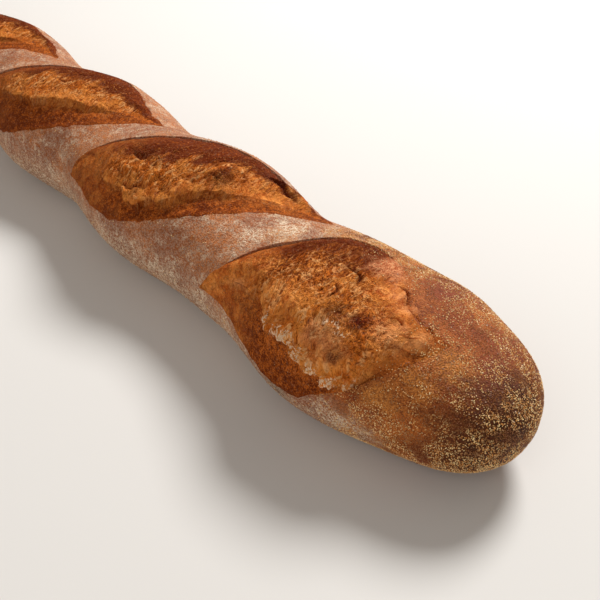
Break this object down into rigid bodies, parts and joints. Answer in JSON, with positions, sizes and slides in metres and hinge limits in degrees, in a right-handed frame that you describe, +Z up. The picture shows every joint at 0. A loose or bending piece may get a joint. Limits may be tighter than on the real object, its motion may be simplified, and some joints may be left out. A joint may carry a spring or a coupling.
{
  "type": "baguette",
  "caption": "Long crusty loaf with slanting cuts that baked open, torn golden crumb under raised lips, and a flat sole to rest on.",
  "frame": {"origin": "centre of the loaf's footprint, on the surface it lies on", "axes": "+X along the loaf towards its blunt end, +Z up, the cuts open towards -Y"},
  "size_m": [0.56, 0.0718, 0.0495],
  "materials": {
    "crust": "baked bread crust, matt, dusted with flour and semolina"
  },
  "bodies": {
    "root": {"loaf": "crust"}
  },
  "joints": []
}
